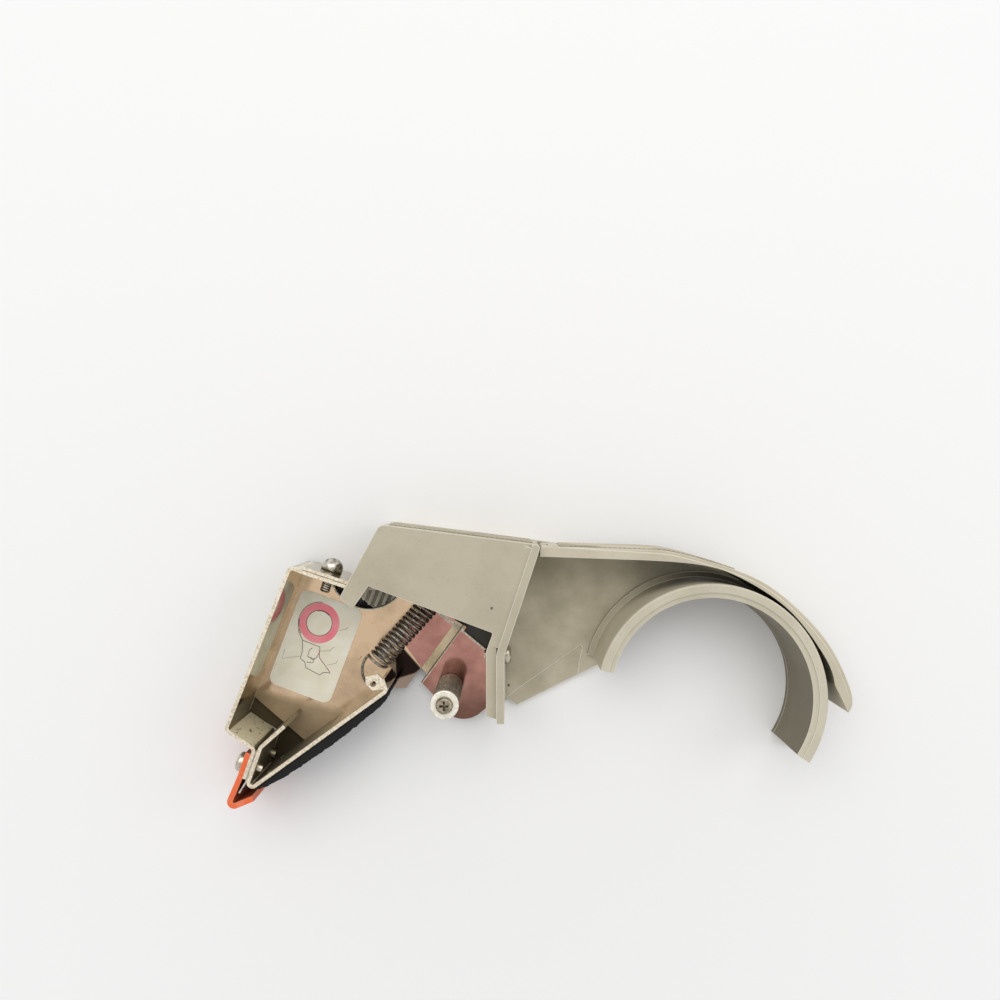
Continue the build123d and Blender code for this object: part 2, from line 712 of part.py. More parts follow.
def make_roller_washer():
    """Washer that keeps the roller on its stud."""
    low = roller_front + 0.2
    body = disc(roller_centre, roller_washer_radius, low, low + roller_washer)
    body = fillet(body.edges().filter_by(GeomType.CIRCLE).sort_by(Axis.Z)[-1], 0.4)
    return body - disc(roller_centre, screw_radius * 0.8 + screw_clear, low - 1, low + 2)


def make_roller_screw():
    """Screw in the end of the roller's stud."""
    place = Pos(roller_centre[0], roller_centre[1], roller_front + 0.2 + roller_washer)
    return place * pan_screw(roller_screw_head, roller_head_height, screw_radius * 0.8, 7)


def make_spring_post():
    """Headed post for the upper end of the return spring, riveted through the side plate."""
    body = disc(spring_post, post_radius, 0.2, spring_level + 3)
    body += disc(spring_post, post_head, wall, wall + 1)
    return body + disc(spring_post, post_head, spring_level + 2, spring_level + 3)


def spring_point(reach, side):
    """A point beside the spring's axis: reach from its lower end, side to its left."""
    return along(along(spring_low, spring_angle, reach), spring_angle + 90, side)


def hook(path):
    """A bent wire end of the spring, at the spring's level."""
    path = Pos(0, 0, spring_level) * path
    section = Plane(origin=path @ 0, z_dir=path % 0) * Circle(wire / 2)
    return sweep(section, path=path)


def make_spring():
    """The extension spring: open coils, a loop through the shoe's tab and a hook round the post."""
    length = spring_pitch * spring_turns
    coil = Helix(spring_pitch, length, spring_radius)
    section = Plane(origin=coil @ 0, z_dir=coil % 0) * Circle(wire / 2)
    turns = sweep(section, path=coil, is_frenet=True)
    place = Plane(
        origin=(spring_low[0], spring_low[1], spring_level),
        x_dir=(*along((0, 0), spring_angle + 90, 1), 0),
        z_dir=(*along((0, 0), spring_angle, 1), 0),
    )
    eye = ear_point(ear_eye)
    loop_foot = along(eye, 250, 2.6)
    low_loop = ThreePointArc(spring_point(0.3, spring_radius), along(eye, 158, 4.5), loop_foot)
    low_turn = ThreePointArc(loop_foot, along(eye, 285, 1.2), eye)
    low_end = disc(eye, wire / 2, spring_level, head_front + 0.5)
    grip = post_radius + wire / 2 + running
    grip_start = spring_point(length - 0.3, spring_radius)
    turn = heading(spring_post, grip_start) - math.degrees(math.acos(grip / math.dist(grip_start, spring_post)))
    touch = along(spring_post, turn, grip)
    upper = Wire([
        Line(grip_start, touch),
        ThreePointArc(touch, along(spring_post, spring_angle, grip), along(spring_post, spring_angle - 90, grip)),
    ])
    return place * turns + hook(low_loop) + hook(low_turn) + low_end + hook(upper)


def make_nut():
    """Nut on the inside of the bracket's leg."""
    place = seat((divider_left - bracket - nut_height, divider_screw_y), divider_screw_level, 0)
    blank = extrude(RegularPolygon(nut_across / 2, 6, major_radius=False), amount=nut_height)
    return place * (blank - Cylinder(screw_radius, 20))


def placed_screw(place, length):
    """A pan head screw in its seat."""
    return place * pan_screw(pan_radius, pan_height, screw_radius, length)


pieces = {
    "frame": make_frame(),
    "core_hub": make_hub(),
    "palm_rest": make_palm_rest(),
    "palm_rest_pin": make_palm_pin(),
    "head_shell": make_head_shell(),
    "shoe": make_shoe(),
    "blade": make_blade(),
    "blade_guard": make_guard(),
    "guard_screw_back": placed_screw(guard_seats[0], guard_thick + 2 * sheet + blade_thick + 1.8),
    "guard_screw_front": placed_screw(guard_seats[1], guard_thick + 2 * sheet + blade_thick + 1.8),
    "wipe_pad": make_pad(),
    "threading_label": make_label(),
    "head_leaf": make_head_leaf(),
    "head_screw": top_seat * pan_screw(top_screw_head, top_screw_height, screw_radius, leaf + sheet + top_screw_out),
    "hinge_plate": make_hinge_plate(),
    "hinge_plate_screw": placed_screw(hinge_seat, 6.0),
    "hinge_pin": make_hinge_pin(),
    "roller_bracket": make_roller_bracket(),
    "bracket_screw": placed_screw(divider_seat, divider_wall + bracket + nut_height + 0.6),
    "bracket_nut": make_nut(),
    "roller_stud": make_stud(),
    "knurled_roller": make_roller(),
    "roller_washer": make_roller_washer(),
    "roller_screw": make_roller_screw(),
    "spring_post": make_spring_post(),
    "return_spring": make_spring(),
}

os.makedirs("parts", exist_ok=True)
for name, piece in pieces.items():
    export_step(piece, f"parts/{name}.step")
    print(name, len(piece.solids()), round(piece.volume, 1))
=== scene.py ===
import math
from types import SimpleNamespace

import bpy
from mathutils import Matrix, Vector


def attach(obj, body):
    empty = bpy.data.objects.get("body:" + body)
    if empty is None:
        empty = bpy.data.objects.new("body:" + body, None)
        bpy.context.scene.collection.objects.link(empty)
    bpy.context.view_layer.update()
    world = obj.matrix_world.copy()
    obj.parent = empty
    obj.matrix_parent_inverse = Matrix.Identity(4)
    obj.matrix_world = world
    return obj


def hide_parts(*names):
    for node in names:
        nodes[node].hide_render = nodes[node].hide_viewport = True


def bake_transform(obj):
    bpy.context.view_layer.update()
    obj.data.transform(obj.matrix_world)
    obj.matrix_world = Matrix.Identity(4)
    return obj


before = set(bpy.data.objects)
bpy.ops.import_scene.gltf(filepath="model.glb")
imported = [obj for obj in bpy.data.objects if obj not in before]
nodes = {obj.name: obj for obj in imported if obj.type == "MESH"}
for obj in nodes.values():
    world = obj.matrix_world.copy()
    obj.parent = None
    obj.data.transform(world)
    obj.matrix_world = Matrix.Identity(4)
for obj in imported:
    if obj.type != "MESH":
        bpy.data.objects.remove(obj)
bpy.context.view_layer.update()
MM = 0.001

# Places and sizes on the tool that its looks depend on, in millimetres
SHEET_TOP = 26.6                       # cut edges of the head's sheets, on the open side
LEAF_TOP = 26.2                        # cut edge of the hinge leaf on the head
PLATE_TOP = 4.1                        # inner face of the head's back plate
LEFT_WALL = (0.9305, -0.3662, 0.0)     # the way the head's left wall looks
NOSE_WALL = (0.565, 0.825, 0.0)        # the way the slanting wall of the nose looks
CUTOUT = (-115.0, 39.7, 0.0)           # middle of the round cutout in the back plate
CUTOUT_RADIUS = 13.6
HUB_BORE = 34.3                        # just outside the hub's inner face
LEAF_SEAM = ((-154.8, 48.9), (-97.9, 29.9))
NOSE_LINE = ((-146.7, -16.1), (-138.9, -9.2))
NOSE_TOP = ((-160.0, -1.0), (-134.0, -7.5))
TAIL = ((-103.6, 13.2), (-95.0, 3.5), (-99.5, -3.0), (-109.5, -3.0), (-107.0, 8.0))
# Corners of a painted shadow on the tail of the head's back plate
TAIL_SHADOW = ((-103.3, 12.8), (-96.7, 5.3), (-98.6, 3.6), (-105.4, 1.5), (-105.6, 9.0))
# Corners of a patch on the body's low floor, painted almost black as shade
BODY_SHADE = ((-90.0, 26.0), (-70.0, 26.0), (-70.0, 4.0), (-90.0, 4.0))
JOGGLE_LINE = ((-96.6, 0.4), (-82.8, 19.3))
BRACKET_EDGE = ((-82.8, 19.3), (-73.5, 11.7))
LABEL_CENTRE = (-133.6, 13.0)
LABEL_TURN = -20.5                     # degrees
LABEL_TOP = 4.25
RING_CENTRE = (-1.7, 8.1)              # on the label, from its centre
PALM_RUN = ((-49.5, 50.2), (-18.1, 48.7), (-9.0, 47.0), (-0.7, 45.0), (9.0, 42.6))
TOP_WALL = ((-105.2, 57.4), (-57.6, 51.4))
TOP_WALL_NORMAL = Vector((0.126, 0.992, 0.0))
GRIP_LOW = 6.0
GRIP_HIGH = 25.6
ROLLER_AXIS = (-86.4, -0.9)
ROLLER_LOW = 4.2
ROLLER_HIGH = 31.0
ROLLER_RADIUS = 4.45
TOP_SCREW_SEAT = (-125.93, 40.56, 14.75)
TOP_SCREW_ANGLE = 71.46                # degrees

UP = (0.0, 0.0, 1.0)                   # towards the open side
FALLING = {"To Min": 1.0, "To Max": 0.0}    # turns a rising share into a falling one
BACKDROP = "#FAFAFA"
FILL = 0.60                            # how much of the white surroundings lights matt surfaces


# Materials

def linear(code):
    """A colour for a shader, from its sRGB hex value."""
    channels = [int(code[i:i + 2], 16) / 255 for i in (1, 3, 5)]
    return [c / 12.92 if c <= 0.04045 else ((c + 0.055) / 1.055) ** 2.4 for c in channels] + [1.0]


def feed(tree, node, inputs):
    """Sets a node's inputs; a hex code stands for its colour, and a node for its first live output."""
    live = [socket for socket in node.inputs if socket.enabled]
    for key, value in inputs.items():
        target = live[key] if isinstance(key, int) else next(socket for socket in live if socket.name == key)
        if isinstance(value, bpy.types.Node):
            value = next(socket for socket in value.outputs if socket.enabled)
        if isinstance(value, bpy.types.NodeSocket):
            tree.links.new(value, target)
        elif isinstance(value, str):
            target.default_value = linear(value)
        else:
            target.default_value = value


def add(tree, kind, inputs=None, **settings):
    """One node with its settings and its inputs."""
    made = tree.nodes.new(kind)
    for name, value in settings.items():
        setattr(made, name, value)
    feed(tree, made, inputs or {})
    return made


def blank(name):
    """A material with its shader and its output, and the coordinates in metres."""
    material = bpy.data.materials.new(name)
    material.use_nodes = True
    tree = material.node_tree
    tree.nodes.clear()
    shader = add(tree, "ShaderNodeBsdfPrincipled")
    add(tree, "ShaderNodeOutputMaterial", {"Surface": shader})
    place = add(tree, "ShaderNodeTexCoord").outputs["Object"]
    return material, tree, shader, place


def mottle(tree, place, size, low, high, detail=3.0, rough=0.5):
    """Patches about that many millimetres across: 0 where the noise is below low, 1 where above high."""
    noise = add(tree, "ShaderNodeTexNoise", {
        "Vector": place, "Scale": 1 / (size * MM), "Detail": detail, "Roughness": rough,
    })
    return add(tree, "ShaderNodeMapRange", {"Value": noise, "From Min": low, "From Max": high})


def drift(tree, place, size, least, most, detail=3.0):
    """A value that drifts between two limits over patches about that many millimetres across."""
    noise = add(tree, "ShaderNodeTexNoise", {"Vector": place, "Scale": 1 / (size * MM), "Detail": detail})
    return add(tree, "ShaderNodeMapRange", {"Value": noise, "To Min": least, "To Max": most}, clamp=False)


def where_all(tree, *shares):
    """The shares multiplied, so 1 only where every one is 1."""
    product = shares[0]
    for share in shares[1:]:
        product = add(tree, "ShaderNodeMath", {0: product, 1: share}, operation="MULTIPLY")
    return product


def where_any(tree, *shares):
    """The largest of the shares."""
    largest = shares[0]
    for share in shares[1:]:
        largest = add(tree, "ShaderNodeMath", {0: largest, 1: share}, operation="MAXIMUM")
    return largest


def but_not(tree, share, hidden):
    """A share, taken away where the other one is 1."""
    shown = add(tree, "ShaderNodeMath", {0: 1.0, 1: hidden}, operation="SUBTRACT")
    return where_all(tree, share, shown)


def laid(tree, colour, share, other, strength=1.0):
    """A colour with another one laid over it where the share is 1."""
    cover = where_all(tree, share, strength)
    return add(tree, "ShaderNodeMix", {"Factor": cover, "A": colour, "B": other}, data_type="RGBA")


def edges(tree, radius, low, high):
    """1 on sharp outer edges, 0 on flat faces."""
    soft = add(tree, "ShaderNodeBevel", {"Radius": radius * MM}, samples=8)
    true = add(tree, "ShaderNodeNewGeometry").outputs["True Normal"]
    match = add(tree, "ShaderNodeVectorMath", {0: soft, 1: true}, operation="DOT_PRODUCT")
    return add(tree, "ShaderNodeMapRange", {
        "Value": match, "From Min": 1 - high, "From Max": 1 - low, **FALLING,
    })


def hollows(tree, reach, low, high):
    """1 in corners and under ledges, 0 in the open."""
    light = add(tree, "ShaderNodeAmbientOcclusion", {"Distance": reach * MM}, samples=8).outputs["AO"]
    return add(tree, "ShaderNodeMapRange", {
        "Value": light, "From Min": 1 - high, "From Max": 1 - low, **FALLING,
    })


def near(tree, place, spot, radius):
    """1 within that radius of a spot in millimetres, with a ragged rim, and 0 outside it."""
    far = add(tree, "ShaderNodeVectorMath", {0: place, 1: [v * MM for v in spot]}, operation="DISTANCE")
    ragged = drift(tree, place, 0.8, 0.0, radius * 0.8 * MM)
    reach = add(tree, "ShaderNodeMath", {0: far, 1: ragged}, operation="ADD")
    return add(tree, "ShaderNodeMapRange", {
        "Value": reach, "From Min": radius * 1.2 * MM, "From Max": radius * 1.5 * MM, **FALLING,
    })


def rightward(tree, place, start, end):
    """A point's reach to the right of a line from start to end, seen from above, and the line's own reach."""
    length = math.dist(start, end)
    right = ((end[1] - start[1]) / length, (start[0] - end[0]) / length, 0.0)
    reach = add(tree, "ShaderNodeVectorMath", {0: place, 1: right}, operation="DOT_PRODUCT")
    return reach, start[0] * right[0] + start[1] * right[1]


def beyond(tree, place, start, end, blur=0.3):
    """1 to the right of the line from start to end, seen from above, and 0 to its left."""
    reach, level = rightward(tree, place, start, end)
    return add(tree, "ShaderNodeMapRange", {
        "Value": reach, "From Min": (level - blur) * MM, "From Max": (level + blur) * MM,
    })


def band(tree, place, start, end, near_side, far_side, ragged=0.0, blur=0.08):
    """1 in a strip to the right of the line from start to end, between two distances in millimetres."""
    reach, level = rightward(tree, place, start, end)
    wave = drift(tree, place, 1.0, -0.5 * ragged * MM, 0.5 * ragged * MM)
    wavy = add(tree, "ShaderNodeMath", {0: reach, 1: wave}, operation="ADD")
    past, over = [
        add(tree, "ShaderNodeMapRange", {
            "Value": wavy, "From Min": (level + side - blur) * MM, "From Max": (level + side + blur) * MM,
        })
        for side in (near_side, far_side)
    ]
    return but_not(tree, past, over)


def patch(tree, place, *corners):
    """1 inside a convex patch whose corners go round clockwise, seen from above."""
    sides = zip(corners, corners[1:] + corners[:1])
    return where_all(tree, *[beyond(tree, place, start, end) for start, end in sides])


def faces(tree, direction, low=0.98, high=0.99):
    """1 where the surface looks in that direction."""
    normal = add(tree, "ShaderNodeNewGeometry").outputs["True Normal"]
    match = add(tree, "ShaderNodeVectorMath", {0: normal, 1: direction}, operation="DOT_PRODUCT")
    return add(tree, "ShaderNodeMapRange", {"Value": match, "From Min": low, "From Max": high})


def in_the_bore(tree, place):
    """1 on the hub's inner face: close to the axis and looking towards it."""
    flat = add(tree, "ShaderNodeVectorMath", {0: place, 1: (1.0, 1.0, 0.0)}, operation="MULTIPLY")
    outward = add(tree, "ShaderNodeVectorMath", {0: flat}, operation="NORMALIZE")
    normal = add(tree, "ShaderNodeNewGeometry").outputs["True Normal"]
    facing = add(tree, "ShaderNodeVectorMath", {0: normal, 1: outward}, operation="DOT_PRODUCT")
    inward = add(tree, "ShaderNodeMapRange", {"Value": facing, "From Min": -0.7, "From Max": -0.5, **FALLING})
    reach = add(tree, "ShaderNodeVectorMath", {0: flat}, operation="LENGTH")
    close = add(tree, "ShaderNodeMapRange", {
        "Value": reach, "From Min": (HUB_BORE - 0.1) * MM, "From Max": (HUB_BORE + 0.1) * MM, **FALLING,
    })
    return where_all(tree, inward, close)


def leaned(tree, normal, share, amount):
    """A normal tipped towards the open side where the share is 1, so the mirror shows what lies higher."""
    lean = add(tree, "ShaderNodeVectorMath", {0: (0.0, 0.0, amount), "Scale": share}, operation="SCALE")
    tipped = add(tree, "ShaderNodeVectorMath", {0: normal, 1: lean}, operation="ADD")
    return add(tree, "ShaderNodeVectorMath", {0: tipped}, operation="NORMALIZE")


def moulding(name, base, worn, edge, floor=None, floor_top=4.0, bore=None, shade_patch=None, nicks=()):
    """Enamelled moulding, satin and faintly pebbled, cloudy with handling dirt; paler on its edges from wear
    and a painted highlight; darker in its corners and under ledges with painted shade; its low floor painted
    in its own tone for the light there, and its bore darkened with painted shade.
    """
    material, tree, shader, place = blank(name)
    colour = laid(tree, base, mottle(tree, place, 22, 0.42, 0.68, 4.0, 0.6), worn)
    # Painted light and shade: below the floor's top the moulding takes its own tone for the light that
    # reaches that level, with stain patches mottled over it
    if floor:
        height = add(tree, "ShaderNodeSeparateXYZ", {"Vector": place}).outputs["Z"]
        low = add(tree, "ShaderNodeMapRange", {
            "Value": height, "From Min": (floor_top - 1.2) * MM, "From Max": floor_top * MM, **FALLING,
        })
        stained_and_shaded = laid(tree, floor, mottle(tree, place, 12, 0.36, 0.70, 4.0), "#A8A088")
        colour = laid(tree, colour, low, stained_and_shaded)
        if shade_patch:
            # Painted shade: the patch of low floor that looks up is darkened almost to black
            painted_shade = where_all(tree, faces(tree, UP), patch(tree, place, *shade_patch), low)
            colour = laid(tree, colour, painted_shade, "#26241A", 0.92)
    # Painted shade: the hub's inner face is darker
    if bore:
        colour = laid(tree, colour, in_the_bore(tree, place), bore)
    colour = laid(tree, colour, mottle(tree, place, 1.2, 0.60, 0.80), "#8E8874", 0.30)
    # Painted shade: darker in small corners, and much darker under ledges and deep in pockets
    colour = laid(tree, colour, hollows(tree, 4, 0.25, 0.8), "#5C563F", 0.5)
    colour = laid(tree, colour, hollows(tree, 25, 0.62, 0.86), "#2E2A1E", 0.8)
    # Paler edges: wear, and a painted highlight where rounded edges catch the light
    colour = laid(tree, colour, edges(tree, 0.5, 0.02, 0.10), edge, 0.95)
    for spot, radius in nicks:
        colour = laid(tree, colour, near(tree, place, spot, radius), "#6A5E4C")
    shine = drift(tree, place, 9, 0.34, 0.56)
    pebble = add(tree, "ShaderNodeTexNoise", {"Vector": place, "Scale": 1 / (0.7 * MM), "Detail": 2.0})
    soft = add(tree, "ShaderNodeBevel", {"Radius": 0.45 * MM}, samples=8)
    bump = add(tree, "ShaderNodeBump", {
        "Strength": 0.25, "Distance": 0.00006, "Height": pebble, "Normal": soft,
    })
    feed(tree, shader, {"Base Color": colour, "Roughness": shine, "IOR": 1.5, "Normal": bump})
    return material


def gripped(name, crest, valley):
    """Enamel over moulded diamonds: the points are lighter and the valleys darker, by the height of each
    point.
    """
    material, tree, shader, place = blank(name)
    worn = laid(tree, crest, mottle(tree, place, 14, 0.40, 0.66, 4.0), "#A89F88")
    height = add(tree, "ShaderNodeAttribute", attribute_name="height").outputs["Fac"]
    raised = add(tree, "ShaderNodeMapRange", {"Value": height, "From Min": 0.05, "From Max": 0.75})
    feed(tree, shader, {
        "Base Color": laid(tree, valley, raised, worn), "Roughness": drift(tree, place, 6, 0.38, 0.58),
    })
    return material


def plated(name, base, tarnish, rough, sheared=SHEET_TOP):
    """The start of every plated sheet: a warm mirror, clouds of tarnish, walls greyer than the level faces as
    a painted reflection, a rolled grain, and pale cut and sharp edges, partly bare metal and wear and partly
    painted highlight.
    """
    material, tree, shader, place = blank(name)
    height = add(tree, "ShaderNodeSeparateXYZ", {"Vector": place}).outputs["Z"]
    stain = mottle(tree, place, 13, 0.42, 0.72, 4.0, 0.62)
    # Painted reflection: faces that do not look up get a greyer tone than the level faces, for the darker
    # things they mirror
    walls_painted_tone = laid(tree, "#BFB7A3", stain, "#948B74")
    level = laid(tree, base, stain, tarnish)
    colour = laid(tree, walls_painted_tone, faces(tree, UP), level)
    colour = laid(tree, colour, mottle(tree, place, 1.6, 0.68, 0.75, 4.0), "#6E5843", 0.5)
    # Pale along the sheared top edges and on sharp edges: bare cut metal and wear, and also a painted
    # highlight where they catch the light
    cut = add(tree, "ShaderNodeMapRange", {
        "Value": height, "From Min": (sheared - 0.12) * MM, "From Max": (sheared - 0.04) * MM,
    })
    rubbed_and_highlit = where_all(tree, edges(tree, 0.2, 0.05, 0.2), 0.4)
    grain = add(tree, "ShaderNodeMapping", {
        "Vector": place, "Rotation": (0, 0, math.radians(-20)), "Scale": (1, 14, 1),
    })
    fine = add(tree, "ShaderNodeTexNoise", {"Vector": grain, "Scale": 1 / (6 * MM), "Detail": 4.0})
    normal = add(tree, "ShaderNodeBump", {"Strength": 0.12, "Distance": 0.00005, "Height": fine})
    return SimpleNamespace(
        material=material, tree=tree, shader=shader, place=place, height=height, colour=colour,
        roughness=drift(tree, place, 5, rough, rough + 0.14, 4.0), pale=where_any(tree, cut, rubbed_and_highlit),
        normal=normal,
    )


def roughened(look, share, amount):
    """Makes a plated sheet rougher where the share is 1."""
    look.roughness = add(look.tree, "ShaderNodeMath", {0: share, 1: amount, 2: look.roughness},
                         operation="MULTIPLY_ADD")


def finished(look, edge="#EFE5D1", dull=0.0):
    """The plated sheet's last steps: pale flecked edges, partly painted highlight, painted shade in the
    corners, and the shader's links.
    """
    tree = look.tree
    flecks = laid(tree, edge, mottle(tree, look.place, 0.8, 0.42, 0.72, 4.0, 0.7), "#B3A182")
    colour = laid(tree, look.colour, look.pale, flecks)
    roughened(look, look.pale, 0.35)
    matt = where_any(tree, where_all(tree, look.pale, 0.75), dull)
    metal = add(tree, "ShaderNodeMath", {0: 1.0, 1: matt}, operation="SUBTRACT")
    # Painted shade: darker in the corners of the metal
    corner_shade = where_all(tree, hollows(tree, 2.5, 0.5, 0.95), metal)
    feed(tree, look.shader, {
        "Base Color": laid(tree, colour, corner_shade, "#5A4C3C", 0.5),
        "Roughness": look.roughness, "Metallic": metal, "Normal": look.normal,
    })
    return look.material


def head_nickel():
    """Nickel plate of the head: pale along the sheared rims, partly as painted highlight; the nose's low web
    painted dark as shade, the nose duller and greyer, and the tail greyed and darkened as painted reflection
    and shadow.
    """
    look = plated("nickel plate on rolled sheet", "#CFB494", "#B0977B", 0.05)
    tree, place, height = look.tree, look.place, look.height
    wall = faces(tree, LEFT_WALL)
    look.normal = leaned(tree, look.normal, wall, 0.08)
    foot = add(tree, "ShaderNodeMapRange", {
        "Value": height, "From Min": (PLATE_TOP + 0.4) * MM, "From Max": (PLATE_TOP + 0.8) * MM, **FALLING,
    })
    flat = add(tree, "ShaderNodeVectorMath", {0: place, 1: (1.0, 1.0, 0.0)}, operation="MULTIPLY")
    centre = [v * MM for v in CUTOUT]
    far = add(tree, "ShaderNodeVectorMath", {0: flat, 1: centre}, operation="DISTANCE")
    rim = add(tree, "ShaderNodeMapRange", {
        "Value": far, "From Min": (CUTOUT_RADIUS + 0.35) * MM, "From Max": (CUTOUT_RADIUS + 0.55) * MM,
        **FALLING,
    })
    low = add(tree, "ShaderNodeMapRange", {
        "Value": height, "From Min": (PLATE_TOP + 0.7) * MM, "From Max": (PLATE_TOP + 1.1) * MM, **FALLING,
    })
    # Painted highlight: a pale line along the left wall's foot; round the cutout a pale ring for its cut
    # edge, with a painted highlight
    look.pale = where_any(tree, look.pale, where_all(tree, wall, foot, 0.6), where_all(tree, rim, low))

    # Painted shade: the low web of the nose, below the back plate, is dark brown, darkest to the right of the
    # strip
    low_web_shade = add(tree, "ShaderNodeMapRange", {
        "Value": height, "From Min": 2.85 * MM, "From Max": 4.0 * MM, **FALLING,
    })
    low_web_shade_colour = laid(tree, "#40321F", beyond(tree, place, *NOSE_LINE), "#2E2014")
    look.colour = laid(tree, look.colour, low_web_shade, low_web_shade_colour, 0.95)
    roughened(look, low_web_shade, 0.35)
    nose = beyond(tree, place, *NOSE_TOP, 1.5)
    look.colour = laid(tree, look.colour, nose, "#857C64", 0.5)
    roughened(look, nose, 0.42)

    # Painted reflection: the tail of the back plate is greyed for the darker things it mirrors
    tail = where_all(tree, patch(tree, place, *TAIL), low)
    look.colour = laid(tree, look.colour, tail, "#7C6E66", 0.8)
    # Painted shadow: a near-black patch on the tail, under the bracket's keeper
    tail_shadow = where_all(tree, patch(tree, place, *TAIL_SHADOW), low)
    look.colour = laid(tree, look.colour, tail_shadow, "#180E0C", 0.97)
    slant = faces(tree, NOSE_WALL, 0.97, 0.985)
    specked = laid(tree, "#ECE4C4", mottle(tree, place, 1.5, 0.60, 0.68, 4.0), "#7A6E50")
    look.colour = laid(tree, look.colour, slant, specked)
    look.pale = but_not(tree, look.pale, tail)
    return finished(look, dull=where_all(tree, slant, 0.8))


def bracket_nickel():
    """Nickel plate of the bracket: brown-pink and darker towards the roller's end, both as painted
    reflection; worn pale on the joggle, partly as painted highlight.
    """
    # Painted reflection: the plate is tinted pink-brown for what its mirror shows
    look = plated("nickel plate with painted pink reflection", "#B28276", "#8E6258", 0.02)
    tree, place = look.tree, look.place
    # Painted reflection: darker towards the roller's end
    along = add(tree, "ShaderNodeSeparateXYZ", {"Vector": place}).outputs["Y"]
    wave = drift(tree, place, 4, 0.0, 6 * MM, 4.0)
    wavy = add(tree, "ShaderNodeMath", {0: along, 1: wave}, operation="ADD")
    dark = add(tree, "ShaderNodeMapRange", {
        "Value": wavy, "From Min": -6 * MM, "From Max": 6 * MM, **FALLING,
    })
    look.colour = laid(tree, look.colour, dark, "#5C4438", 0.8)

    true = add(tree, "ShaderNodeNewGeometry").outputs["True Normal"]
    tilt = add(tree, "ShaderNodeSeparateXYZ", {"Vector": true}).outputs["Z"]
    rising = add(tree, "ShaderNodeMapRange", {"Value": tilt, "From Min": 0.2, "From Max": 0.3})
    level = add(tree, "ShaderNodeMapRange", {"Value": tilt, "From Min": 0.95, "From Max": 0.97})
    slope = but_not(tree, rising, level)
    wear = add(tree, "ShaderNodeTexNoise", {"Vector": place, "Scale": 1 / (2 * MM), "Detail": 4.0})
    # The joggle's slope is pale: wear, and a painted highlight
    look.colour = laid(tree, look.colour, slope, laid(tree, "#F0E0C0", wear, "#C8B492"))
    roughened(look, slope, 0.3)
    look.normal = leaned(tree, look.normal, slope, 0.9)

    # Painted highlight: pale lines along the bracket's edge and the joggle's ridge, with a whiter edge colour
    # below; painted shade: a dark line in the joggle's crease
    rim = band(tree, place, *BRACKET_EDGE, -0.5, 0.6, 0.9)
    ridge = band(tree, place, *JOGGLE_LINE, 0.35, 0.6, 0.3)
    crease = band(tree, place, *JOGGLE_LINE, -0.05, 0.35, 0.3)
    look.pale = but_not(tree, where_any(tree, look.pale, rim, ridge), crease)
    look.colour = laid(tree, look.colour, crease, "#35261E", 0.85)
    return finished(look, "#FFF8E8")


def leaf_nickel():
    """Nickel plate of the hinge leaf on the head, whose cut edge lies just under the head's."""
    look = plated("nickel plate on hinge leaf", "#CFB494", "#B0977B", 0.08, LEAF_TOP)
    seam = band(look.tree, look.place, *LEAF_SEAM, -0.22, 0.1)
    look.pale = but_not(look.tree, look.pale, seam)
    look.colour = laid(look.tree, look.colour, seam, "#4A3C2C", 0.9)
    return finished(look)


def steel(name, base, dark, rough, spots=1.5, metal=1.0):
    """Plain or zinc-plated steel, spotted darker by oil and dust, with painted shade in its hollows."""
    material, tree, shader, place = blank(name)
    colour = laid(tree, base, mottle(tree, place, spots, 0.38, 0.72, 4.0, 0.6), dark)
    # Painted shade: darker in the hollows
    colour = laid(tree, colour, hollows(tree, 1.6, 0.35, 0.8), "#1A1610", 0.85)
    shine = drift(tree, place, 0.8, rough, rough + 0.25)
    feed(tree, shader, {"Base Color": colour, "Metallic": metal, "Roughness": shine})
    return material


def orange_nylon():
    """Moulded nylon, orange, paler at its thin edges and where it is scuffed."""
    material, tree, shader, place = blank("moulded nylon orange")
    colour = laid(tree, "#EC6A38", mottle(tree, place, 2.5, 0.50, 0.74, 4.0, 0.65), "#F6A07A", 0.5)
    colour = laid(tree, colour, edges(tree, 0.35, 0.04, 0.2), "#F9B797", 0.7)
    # Painted shade: dark brown in the hollows
    colour = laid(tree, colour, hollows(tree, 7, 0.45, 0.8), "#4A2012", 0.8)
    feed(tree, shader, {"Base Color": colour, "Roughness": 0.38, "IOR": 1.53})
    return material


def black_felt():
    """Pressed wool felt, black, matt, with fibres that stand up and catch a little light."""
    material, tree, shader, place = blank("pressed felt black")
    fibre = add(tree, "ShaderNodeTexNoise", {
        "Vector": place, "Scale": 1 / (0.5 * MM), "Detail": 5.0, "Roughness": 0.7,
    })
    lit = add(tree, "ShaderNodeMapRange", {"Value": fibre, "From Min": 0.45, "From Max": 0.75})
    bump = add(tree, "ShaderNodeBump", {"Strength": 1.0, "Distance": 0.0003, "Height": fibre})
    colour = laid(tree, "#0A0A0A", lit, "#201F1E")
    feed(tree, shader, {"Base Color": colour, "Roughness": 0.95, "Normal": bump})
    return material


def card(name, base, aged):
    """Printed card under a thin varnish, yellowed in patches."""
    material, tree, shader, place = blank(name)
    colour = laid(tree, base, mottle(tree, place, 9, 0.40, 0.70, 4.0), aged)
    feed(tree, shader, {"Base Color": colour, "Roughness": 0.5})
    return material


